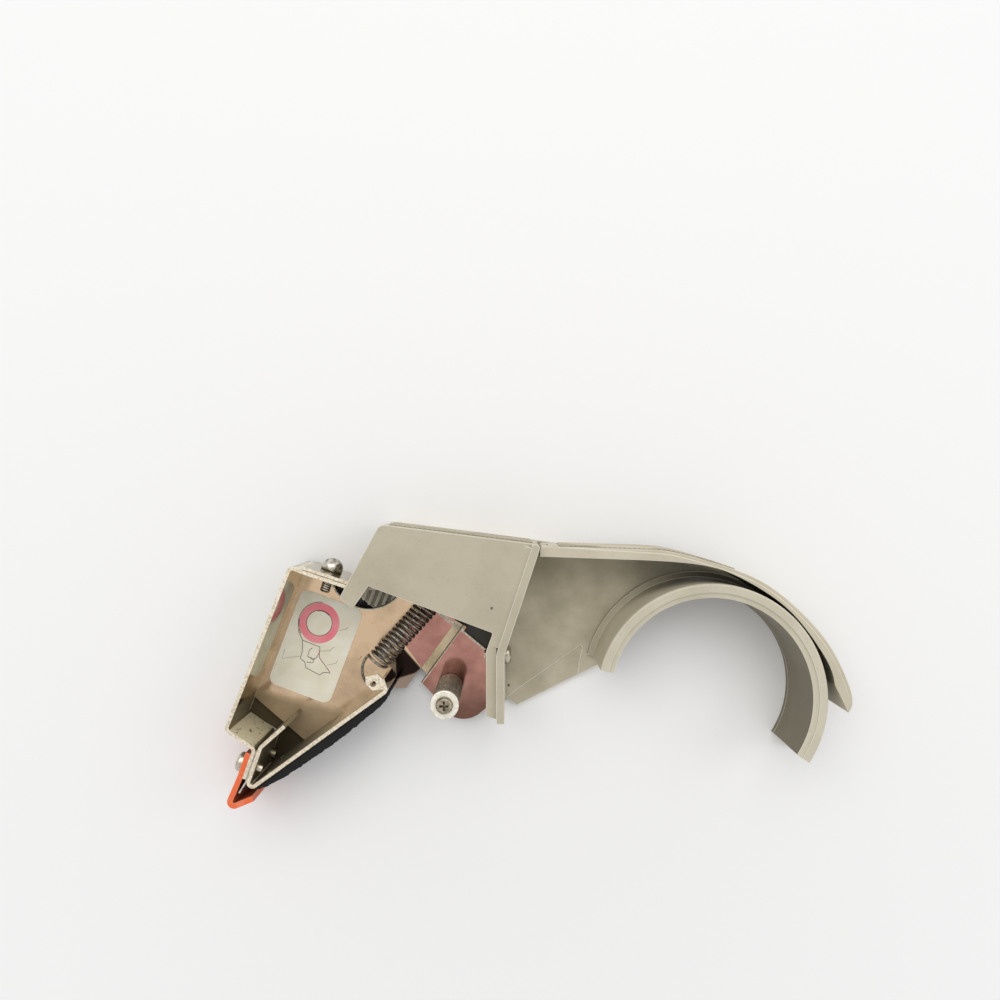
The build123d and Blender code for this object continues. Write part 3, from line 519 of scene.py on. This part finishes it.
enamel_body = moulding(
    "satin enamel grey beige", "#BDB59F", "#B1A892", "#F8F3E2", floor="#C6BEA7", bore="#736A54",
    shade_patch=BODY_SHADE, nicks=[((-71.3, 29.7, 29.5), 0.5), ((-65.8, -1.0, 2.5), 0.5)],
)
enamel_palm = moulding("satin enamel cream beige", "#CCC4AE", "#BFB6A0", "#EEE8D6")
enamel_hub = moulding(
    "satin enamel cream", "#CEC7B2", "#C2BAA4", "#EEE8D6", floor="#A69E86", floor_top=5.6, bore="#736A54",
)
grip_body = gripped("enamel on body grip", "#C6BEA8", "#6A6050")
grip_palm = gripped("enamel on palm grip", "#D0C8B2", "#726856")
nickel = head_nickel()
nickel_leaf = leaf_nickel()
nickel_pink = bracket_nickel()
# Zinc plate is a soft, pale mirror; oil and handling darken and dull it
zinc = steel("zinc plate on screw heads", "#D2CABA", "#857B69", 0.18)
zinc_pale = steel("bright zinc plate", "#F4F0E4", "#D8D0BE", 0.28, metal=0.5)
zinc_dark = steel("zinc plate with oil", "#D8D2C6", "#5A544A", 0.12)
zinc_dull = steel("dulled zinc plate", "#A79C88", "#4E463B", 0.28)
# Bare spring wire and strip steel are greyer, mottled with brown-black oil, with painted shade in the gaps
spring_wire = steel("oiled spring wire", "#928A7E", "#2A2620", 0.24)
blade_steel = steel("hardened strip steel", "#C8C2B6", "#8C8578", 0.2)
# The knurl's points are bright steel spotted with grime, and its valleys are darkened with painted shade
knurl_steel = steel("knurled steel with grime", "#C6BFAF", "#5A5444", 0.42, spots=0.8, metal=0.6)
nylon = orange_nylon()
felt = black_felt()
label_card = card("varnished label card", "#FFFCEC", "#F2EBD2")
ring_ink = card("pink printing ink", "#FF8794", "#FFA3AA")
line_ink = card("grey printing ink", "#4C4448", "#6E6468")
brown_ink = card("brown red printing ink", "#9E5A62", "#B4787C")

finish = {
    "frame": enamel_body,
    "core_hub": enamel_hub,
    "palm_rest": enamel_palm,
    "palm_rest_pin": zinc_dull,
    "head_shell": nickel,
    "shoe": nickel,
    "blade": blade_steel,
    "blade_guard": nylon,
    "guard_screw_back": zinc,
    "guard_screw_front": zinc,
    "threading_label": label_card,
    "head_leaf": nickel_leaf,
    "head_screw": zinc_dark,
    "hinge_plate": zinc_dull,
    "hinge_plate_screw": zinc,
    "hinge_pin": zinc_dull,
    "roller_bracket": nickel_pink,
    "bracket_screw": zinc,
    "bracket_nut": zinc,
    "roller_stud": zinc_dull,
    "roller_washer": zinc_pale,
    "roller_screw": zinc_dull,
    "spring_post": zinc_dull,
}
for name, material in finish.items():
    mesh = nodes[name].data
    mesh.materials.clear()
    mesh.materials.append(material)


# New pieces

def nothing_selected():
    if bpy.context.object and bpy.context.object.mode != "OBJECT":
        bpy.ops.object.mode_set(mode="OBJECT")
    bpy.ops.object.select_all(action="DESELECT")


def only(piece):
    """The piece alone is selected and active."""
    nothing_selected()
    piece.select_set(True)
    bpy.context.view_layer.objects.active = piece


def select_points(piece, wanted):
    """Selects the points of the piece that are wanted and leaves it in edit mode."""
    only(piece)
    bpy.ops.object.mode_set(mode="EDIT")
    bpy.ops.mesh.select_mode(type="VERT")
    bpy.ops.mesh.select_all(action="DESELECT")
    bpy.ops.object.mode_set(mode="OBJECT")
    for vertex in piece.data.vertices:
        vertex.select = wanted(vertex.co)
    bpy.ops.object.mode_set(mode="EDIT")


def settle(piece, name, material, body, smooth=None):
    """Name, finish and body of a new piece, with its place moved into its mesh."""
    only(piece)
    bpy.ops.object.transform_apply(location=True, rotation=True, scale=True)
    piece.name = name
    piece.data.name = name
    piece.data.materials.clear()
    piece.data.materials.append(material)
    if smooth is not None:
        bpy.ops.object.shade_smooth_by_angle(angle=math.radians(smooth))
    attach(piece, body)
    return piece


def cad_copy(node):
    """A merged copy of a CAD node's mesh, to be worked on."""
    nothing_selected()
    source = nodes[node]
    piece = bpy.data.objects.new(node + "_shape", source.data.copy())
    bpy.context.scene.collection.objects.link(piece)
    only(piece)
    bpy.ops.object.mode_set(mode="EDIT")
    bpy.ops.mesh.select_all(action="SELECT")
    bpy.ops.mesh.remove_doubles(threshold=0.000002)
    bpy.ops.object.mode_set(mode="OBJECT")
    return piece


def shaped(kind, **settings):
    """Adds a modifier to the active piece and applies it."""
    piece = bpy.context.object
    bpy.ops.object.modifier_add(type=kind)
    for name, value in settings.items():
        setattr(piece.modifiers[-1], name, value)
    bpy.ops.object.modifier_apply(modifier=piece.modifiers[-1].name)


def curve_piece(name, radius, lines):
    """Round wire along each line of points in metres, turned into a mesh."""
    nothing_selected()
    data = bpy.data.curves.new(name, "CURVE")
    data.dimensions = "3D"
    data.bevel_depth = radius * MM
    data.bevel_resolution = 1
    for line in lines:
        spline = data.splines.new("POLY")
        spline.points.add(len(line) - 1)
        for point, target in zip(spline.points, line):
            point.co = (*target, 1.0)
    piece = bpy.data.objects.new(name, data)
    bpy.context.scene.collection.objects.link(piece)
    only(piece)
    bpy.ops.object.convert(target="MESH")
    return bpy.context.object


# Return spring: stretches between the frame's post and the head's ear
coil = cad_copy("return_spring")
coil.name = "spring_coil"
coil.data.materials.clear()
coil.data.materials.append(spring_wire)
bpy.ops.object.shade_smooth_by_angle(angle=math.radians(60))
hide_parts("return_spring")
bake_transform(coil)

# Knurled roller: rows of small diamonds between two plain ends
KNURL_COLUMNS = 44
KNURL_ROWS = 52
KNURL_PLAIN = 0.8          # length of each plain end
KNURL_VALLEY = 0.955       # radius in the valleys, as a share of the crests'
KNURL_RIM = 0.93           # radius of the two end faces
roller_length = ROLLER_HIGH - ROLLER_LOW
row_height = (roller_length - 2 * KNURL_PLAIN) / KNURL_ROWS
nothing_selected()
bpy.ops.mesh.primitive_circle_add(
    vertices=KNURL_COLUMNS, radius=ROLLER_RADIUS * MM,
    location=(ROLLER_AXIS[0] * MM, ROLLER_AXIS[1] * MM, ROLLER_LOW * MM),
)
knurl = bpy.context.object
bpy.ops.object.mode_set(mode="EDIT")
for rise in [KNURL_PLAIN * 0.5] * 2 + [row_height] * KNURL_ROWS + [KNURL_PLAIN * 0.5] * 2:
    bpy.ops.mesh.extrude_region_move(TRANSFORM_OT_translate={"value": (0, 0, rise * MM)})
bpy.ops.mesh.edge_face_add()
bpy.ops.object.mode_set(mode="OBJECT")
for vertex in knurl.data.vertices:
    point = vertex.co
    ring = round((point.z - KNURL_PLAIN * MM) / (row_height * MM))
    column = round(math.atan2(point.y, point.x) / (2 * math.pi / KNURL_COLUMNS))
    inside = KNURL_PLAIN * MM < point.z < (roller_length - KNURL_PLAIN) * MM
    if point.z < 0.1 * MM or point.z > (roller_length - 0.1) * MM:
        vertex.co = Vector((point.x * KNURL_RIM, point.y * KNURL_RIM, point.z))
    elif inside and (ring + column) % 2 == 0:
        vertex.co = Vector((point.x * KNURL_VALLEY, point.y * KNURL_VALLEY, point.z))
select_points(knurl, lambda point: point.z < 0.01 * MM)
bpy.ops.mesh.edge_face_add()
bpy.ops.mesh.select_all(action="SELECT")
bpy.ops.mesh.normals_make_consistent(inside=False)
bpy.ops.object.mode_set(mode="OBJECT")
settle(knurl, "roller_knurl", knurl_steel, "roller", 20)
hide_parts("knurled_roller")


# Hand grip: moulded diamonds on the top wall and on the palm rest, about 1.6 mm apart
DIAMOND_CREST = 0.50
DIAMOND_VALLEY = 0.04
DIAMOND_RIM = -0.15        # the sheet's border is sunk into the wall


def diamonds(name, columns, rows, place, material, body, node):
    """A closed sheet of small diamonds that lies on a node; place gives the metres for two shares."""
    nothing_selected()
    bpy.ops.mesh.primitive_grid_add(x_subdivisions=columns, y_subdivisions=rows, size=2)
    sheet = bpy.context.object
    shares = [((vertex.co.x + 1) / 2, (vertex.co.y + 1) / 2) for vertex in sheet.data.vertices]
    for vertex, share in zip(sheet.data.vertices, shares):
        vertex.co = place(*share)
    shaped("SHRINKWRAP", target=nodes[node], wrap_method="NEAREST_SURFACEPOINT")
    if sheet.data.polygons[0].normal.dot(TOP_WALL_NORMAL) < 0:
        bpy.ops.object.mode_set(mode="EDIT")
        bpy.ops.mesh.select_all(action="SELECT")
        bpy.ops.mesh.flip_normals()
        bpy.ops.object.mode_set(mode="OBJECT")
    normals = [vertex.normal.copy() for vertex in sheet.data.vertices]
    height = sheet.data.attributes.new("height", "FLOAT", "POINT")
    for index, (vertex, share, normal) in enumerate(zip(sheet.data.vertices, shares, normals)):
        column = round(share[0] * columns)
        row = round(share[1] * rows)
        crest = (column + row) % 2
        if column in (0, columns) or row in (0, rows):
            lift = DIAMOND_RIM
        else:
            lift = DIAMOND_CREST if crest else DIAMOND_VALLEY
            height.data[index].value = crest
        vertex.co += normal * lift * MM
    shaped("SOLIDIFY", thickness=0.8 * MM, offset=-1)
    return settle(sheet, name, material, body)


def on_run(run, along, up):
    """A point on a wall that follows a run of corners, at two shares of its length and height."""
    pairs = list(zip(run, run[1:]))
    reach = along * sum(math.dist(*pair) for pair in pairs)
    for start, end in pairs:
        length = math.dist(start, end)
        if reach <= length + 0.001:
            break
        reach -= length
    x = start[0] + (end[0] - start[0]) * reach / length
    y = start[1] + (end[1] - start[1]) * reach / length
    return Vector((x, y, GRIP_LOW + (GRIP_HIGH - GRIP_LOW) * up)) * MM


diamonds("top_wall_grip", 60, 24, lambda along, up: on_run(TOP_WALL, along, up), grip_body, "frame", "frame")
diamonds("palm_grip", 74, 24, lambda along, up: on_run(PALM_RUN, along, up), grip_palm, "palm", "palm_rest")


# Wipe-down pad: a felt strip with a torn, fibrous outer edge
pad = cad_copy("wipe_pad")
shaped("REMESH", mode="VOXEL", voxel_size=0.45 * MM)
fibres = bpy.data.textures.new("felt fibres", "CLOUDS")
fibres.noise_scale = 1.6 * MM
fibres.noise_depth = 3
shaped("DISPLACE", texture=fibres, texture_coords="LOCAL", strength=0.9 * MM, mid_level=0.7)
settle(pad, "felt_pad", felt, "head", 70)
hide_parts("wipe_pad")


# Top screw: a lower pan head than the solid's, and the screw thread on its inner end
HEAD_DROP = 1.2            # how much lower the pan head is than the solid's
THREAD_START = 2.7         # from the head's seat inwards
THREAD_PITCH = 0.75
THREAD_RADIUS = 1.5
THREAD_WIRE = 0.26
THREAD_TURNS = 6
TURN_STEPS = 16
turn = math.radians(TOP_SCREW_ANGLE)
seat = Vector(TOP_SCREW_SEAT)
outward = Vector((math.cos(turn), math.sin(turn), 0))
across = Vector((-math.sin(turn), math.cos(turn), 0))
screw = cad_copy("head_screw")
select_points(screw, lambda point: (point / MM - seat).dot(outward) > 1.5)
bpy.ops.transform.translate(value=outward * -HEAD_DROP * MM)
bpy.ops.object.mode_set(mode="OBJECT")
settle(screw, "top_screw", zinc_dark, "head", 35)
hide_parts("head_screw")


def on_thread(step):
    """A point of the thread's helix."""
    angle = step / TURN_STEPS * 2 * math.pi
    spot = seat - outward * (THREAD_START + step / TURN_STEPS * THREAD_PITCH)
    return (spot + (across * math.cos(angle) + Vector(UP) * math.sin(angle)) * THREAD_RADIUS) * MM


helix = [on_thread(step) for step in range(THREAD_TURNS * TURN_STEPS + 1)]
thread = curve_piece("top_screw_thread", THREAD_WIRE, [helix])
settle(thread, "top_screw_thread", zinc, "head", 60)


# Threading label: a plain drawing of a roll and the tape's path, with no words

def on_label(x, y, height=0.0):
    turn = math.radians(LABEL_TURN)
    return Vector((
        (LABEL_CENTRE[0] + x * math.cos(turn) - y * math.sin(turn)) * MM,
        (LABEL_CENTRE[1] + x * math.sin(turn) + y * math.cos(turn)) * MM,
        (LABEL_TOP + height) * MM,
    ))


def inked(name, lines, width, material):
    """Printed lines: round ink beads, sunk into the card so that only their tops show."""
    beads = [[on_label(x, y, -0.36 * width) for x, y in line] for line in lines]
    return settle(curve_piece(name, width / 2, beads), name, material, "head")


def circle(x, y, radius, start=0, end=360, count=40):
    angles = [math.radians(start + (end - start) * i / count) for i in range(count + 1)]
    return [(x + radius * math.cos(angle), y + radius * math.sin(angle)) for angle in angles]


nothing_selected()
bpy.ops.mesh.primitive_torus_add(
    major_segments=72, minor_segments=8, major_radius=5.75 * MM, minor_radius=1.5 * MM,
    location=on_label(*RING_CENTRE, -0.01),
)
bpy.ops.transform.resize(value=(1, 1, 0.03))
settle(bpy.context.object, "label_ring", ring_ink, "head", 60)
inked("label_lines", [
    circle(*RING_CENTRE, 4.5), circle(*RING_CENTRE, 7.35, 100, 230),
    [(-8.9, 7.2), (-7.4, 2.7), (-5.1, 0.4), (-3.8, -3.5), (-3.7, -5.8), (-1.7, -6.5), (-0.7, -8.2),
     (4.7, -9.0), (5.9, -7.5), (8.1, -7.0)],
    [(-5.1, 0.4), (1.4, 0.3), (2.0, -1.3), (1.6, -3.6), (0.7, -4.8), (-1.5, -4.2), (-1.6, -1.9),
     (-0.9, -0.9)],
    [(-1.4, -4.4), (1.1, -4.3), (1.0, -5.8), (-1.1, -6.3)],
], 0.42, line_ink)
inked("label_leaders", [
    [(-4.2, -5.3), (-9.6, -8.1), (-9.9, -4.8)], [(2.2, -1.0), (5.2, 0.4), (6.1, 2.0)],
    [(5.9, -4.9), (8.7, -3.1), (8.9, -1.9)], [(5.9, 8.2), (7.8, 9.3), (8.3, 10.4)],
], 0.2, line_ink)
inked("label_tape", [
    [(1.7, -0.9), (2.5, -3.2), (7.8, -6.8)], circle(*RING_CENTRE, 4.3, 60, 120, 8),
], 0.5, brown_ink)


# Floor, light and camera

def seen(tree):
    """1 for rays that show a surface: from the camera, off a mirror, or through clear material."""
    rays = add(tree, "ShaderNodeLightPath").outputs
    return where_any(tree, rays["Is Camera Ray"], rays["Is Glossy Ray"], rays["Is Transmission Ray"])


# Pale paper: shaded only in the narrow gap behind the cutout, and fading to white away from the tool
nothing_selected()
bpy.ops.mesh.primitive_plane_add(size=3.0, location=(-0.05, 0.03, -0.00005))
floor = bpy.context.object
floor.name = "floor"
bpy.ops.object.transform_apply(location=True)
paper, tree, shader, place = blank("pale paper floor")
far = add(tree, "ShaderNodeVectorMath", {0: place, 1: [v * MM for v in CUTOUT]}, operation="DISTANCE")
close = add(tree, "ShaderNodeMapRange", {"Value": far, "From Min": 18 * MM, "From Max": 24 * MM, **FALLING})
shade = where_all(tree, hollows(tree, 30, 0.45, 0.62), beyond(tree, place, *LEAF_SEAM), close)
feed(tree, shader, {"Base Color": laid(tree, "#FBFBFB", shade, "#14120F"), "Roughness": 0.8})
middle = add(tree, "ShaderNodeVectorMath", {0: place, 1: (-0.06, 0.03, 0.0)}, operation="DISTANCE")
away = add(tree, "ShaderNodeMapRange", {"Value": middle, "From Min": 0.10, "From Max": 0.42})
white = add(tree, "ShaderNodeEmission", {"Color": BACKDROP, "Strength": 1.0})
faded = add(tree, "ShaderNodeMixShader", {0: where_all(tree, away, seen(tree)), 1: shader, 2: white})
feed(tree, tree.nodes["Material Output"], {"Surface": faded})
floor.data.materials.append(paper)


def lamp(name, place, target, width, height, power, colour):
    """A soft box that looks at the target."""
    data = bpy.data.lights.new(name, "AREA")
    data.shape = "RECTANGLE"
    data.size = width
    data.size_y = height
    data.energy = power
    data.color = linear(colour)[:3]
    soft = bpy.data.objects.new(name, data)
    bpy.context.scene.collection.objects.link(soft)
    soft.location = place
    soft.rotation_euler = (Vector(target) - Vector(place)).to_track_quat("-Z", "Y").to_euler()
    return soft


tool = (-0.06, 0.02, 0.01)
lamp("soft box above the back", (-0.2, 0.65, 1.0), tool, 1.4, 0.9, 6.6, "#FFFDFA")
lamp("soft box from the right", (0.8, 0.25, 0.7), tool, 0.5, 0.5, 1.2, "#FAFBFF")

# White surroundings: full white to the eye, dimmer as a light on matt surfaces
world = bpy.data.worlds.new("studio")
bpy.context.scene.world = world
world.use_nodes = True
sky = world.node_tree
sky.nodes.clear()
level = add(sky, "ShaderNodeMapRange", {"Value": seen(sky), "To Min": FILL, "To Max": 1.0})
background = add(sky, "ShaderNodeBackground", {"Color": BACKDROP, "Strength": level})
add(sky, "ShaderNodeOutputWorld", {"Surface": background})

# The photograph's view: straight down, from 310 mm above the table
FOCAL_PIXELS = 870
FRAME_PIXELS = 1000
camera_data = bpy.data.cameras.new("camera")
camera_data.sensor_width = 36.0
camera_data.lens = 36.0 * FOCAL_PIXELS / FRAME_PIXELS
camera_data.shift_x = -0.008
camera_data.shift_y = -0.006
camera_data.clip_start = 0.01
camera = bpy.data.objects.new("camera", camera_data)
camera.location = (-0.06605, 0.06654, 0.310)
bpy.context.scene.collection.objects.link(camera)
bpy.context.scene.camera = camera
bpy.context.scene.view_settings.view_transform = "Standard"
